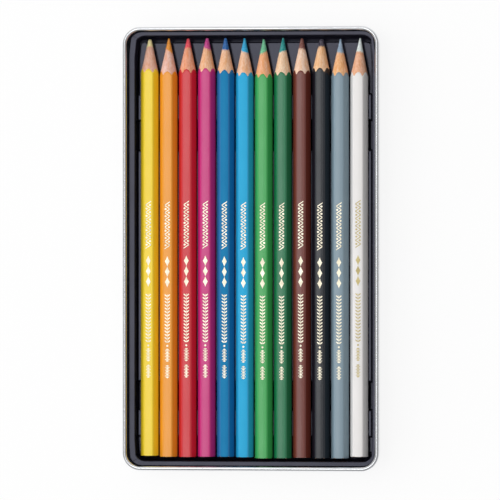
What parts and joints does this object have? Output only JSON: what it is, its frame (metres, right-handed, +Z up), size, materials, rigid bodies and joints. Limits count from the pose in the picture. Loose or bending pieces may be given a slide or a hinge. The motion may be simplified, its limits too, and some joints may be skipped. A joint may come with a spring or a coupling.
{
  "type": "coloured pencil tin",
  "caption": "Flat open tin with a rolled rim and a formed tray that cradles a row of sharpened hexagonal coloured pencils, each free to lift out.",
  "frame": {"origin": "middle of the tin's flat underside", "axes": "+X across the row of pencils towards the white one, +Y the way the points point, +Z up out of the tin"},
  "size_m": [0.1084, 0.1856, 0.013],
  "materials": {
    "tinplate": "bright tinplate, satin",
    "tray_sheet": "satin formed sheet",
    "cedar": "sharpened, bare",
    "gold_foil": "hot-stamped foil",
    "yellow_lacquer": "gloss lacquer",
    "yellow_lead": "waxy pigment",
    "orange_lacquer": "gloss lacquer",
    "orange_lead": "waxy pigment",
    "red_lacquer": "gloss lacquer",
    "red_lead": "waxy pigment",
    "magenta_lacquer": "gloss lacquer",
    "magenta_lead": "waxy pigment",
    "blue_lacquer": "gloss lacquer",
    "blue_lead": "waxy pigment",
    "light_blue_lacquer": "gloss lacquer",
    "light_blue_lead": "waxy pigment",
    "green_lacquer": "gloss lacquer",
    "green_lead": "waxy pigment",
    "dark_green_lacquer": "gloss lacquer",
    "dark_green_lead": "waxy pigment",
    "brown_lacquer": "gloss lacquer",
    "brown_lead": "waxy pigment",
    "black_lacquer": "gloss lacquer",
    "black_lead": "waxy pigment",
    "grey_lacquer": "gloss lacquer",
    "grey_lead": "waxy pigment",
    "white_lacquer": "gloss lacquer",
    "white_lead": "waxy pigment"
  },
  "bodies": {
    "tin": {"tin_base": "tinplate"},
    "tray": {"insert_tray": "tray_sheet"},
    "yellow_pencil": {"yellow_pencil_lower_slat": "cedar", "yellow_pencil_upper_slat": "cedar", "yellow_pencil_lead": "yellow_lead", "yellow_pencil_lacquer": "yellow_lacquer"},
    "orange_pencil": {"orange_pencil_lower_slat": "cedar", "orange_pencil_upper_slat": "cedar", "orange_pencil_lead": "orange_lead", "orange_pencil_lacquer": "orange_lacquer"},
    "red_pencil": {"red_pencil_lower_slat": "cedar", "red_pencil_upper_slat": "cedar", "red_pencil_lead": "red_lead", "red_pencil_lacquer": "red_lacquer"},
    "magenta_pencil": {"magenta_pencil_lower_slat": "cedar", "magenta_pencil_upper_slat": "cedar", "magenta_pencil_lead": "magenta_lead", "magenta_pencil_lacquer": "magenta_lacquer"},
    "blue_pencil": {"blue_pencil_lower_slat": "cedar", "blue_pencil_upper_slat": "cedar", "blue_pencil_lead": "blue_lead", "blue_pencil_lacquer": "blue_lacquer"},
    "light_blue_pencil": {"light_blue_pencil_lower_slat": "cedar", "light_blue_pencil_upper_slat": "cedar", "light_blue_pencil_lead": "light_blue_lead", "light_blue_pencil_lacquer": "light_blue_lacquer"},
    "green_pencil": {"green_pencil_lower_slat": "cedar", "green_pencil_upper_slat": "cedar", "green_pencil_lead": "green_lead", "green_pencil_lacquer": "green_lacquer"},
    "dark_green_pencil": {"dark_green_pencil_lower_slat": "cedar", "dark_green_pencil_upper_slat": "cedar", "dark_green_pencil_lead": "dark_green_lead", "dark_green_pencil_lacquer": "dark_green_lacquer"},
    "brown_pencil": {"brown_pencil_lower_slat": "cedar", "brown_pencil_upper_slat": "cedar", "brown_pencil_lead": "brown_lead", "brown_pencil_lacquer": "brown_lacquer"},
    "black_pencil": {"black_pencil_lower_slat": "cedar", "black_pencil_upper_slat": "cedar", "black_pencil_lead": "black_lead", "black_pencil_lacquer": "black_lacquer"},
    "grey_pencil": {"grey_pencil_lower_slat": "cedar", "grey_pencil_upper_slat": "cedar", "grey_pencil_lead": "grey_lead", "grey_pencil_lacquer": "grey_lacquer"},
    "white_pencil": {"white_pencil_lower_slat": "cedar", "white_pencil_upper_slat": "cedar", "white_pencil_lead": "white_lead", "white_pencil_lacquer": "white_lacquer"}
  },
  "joints": [
    {"name": "tray_lift", "type": "slide", "parent": "tin", "child": "tray", "axis": [0, 0, 1], "range_m": [0, 0.025]},
    {"name": "yellow_pencil_lift", "type": "slide", "parent": "tray", "child": "yellow_pencil", "axis": [0, 0, 1], "range_m": [0, 0.02]},
    {"name": "orange_pencil_lift", "type": "slide", "parent": "tray", "child": "orange_pencil", "axis": [0, 0, 1], "range_m": [0, 0.02]},
    {"name": "red_pencil_lift", "type": "slide", "parent": "tray", "child": "red_pencil", "axis": [0, 0, 1], "range_m": [0, 0.02]},
    {"name": "magenta_pencil_lift", "type": "slide", "parent": "tray", "child": "magenta_pencil", "axis": [0, 0, 1], "range_m": [0, 0.02]},
    {"name": "blue_pencil_lift", "type": "slide", "parent": "tray", "child": "blue_pencil", "axis": [0, 0, 1], "range_m": [0, 0.02]},
    {"name": "light_blue_pencil_lift", "type": "slide", "parent": "tray", "child": "light_blue_pencil", "axis": [0, 0, 1], "range_m": [0, 0.02]},
    {"name": "green_pencil_lift", "type": "slide", "parent": "tray", "child": "green_pencil", "axis": [0, 0, 1], "range_m": [0, 0.02]},
    {"name": "dark_green_pencil_lift", "type": "slide", "parent": "tray", "child": "dark_green_pencil", "axis": [0, 0, 1], "range_m": [0, 0.02]},
    {"name": "brown_pencil_lift", "type": "slide", "parent": "tray", "child": "brown_pencil", "axis": [0, 0, 1], "range_m": [0, 0.02]},
    {"name": "black_pencil_lift", "type": "slide", "parent": "tray", "child": "black_pencil", "axis": [0, 0, 1], "range_m": [0, 0.02]},
    {"name": "grey_pencil_lift", "type": "slide", "parent": "tray", "child": "grey_pencil", "axis": [0, 0, 1], "range_m": [0, 0.02]},
    {"name": "white_pencil_lift", "type": "slide", "parent": "tray", "child": "white_pencil", "axis": [0, 0, 1], "range_m": [0, 0.02]}
  ]
}
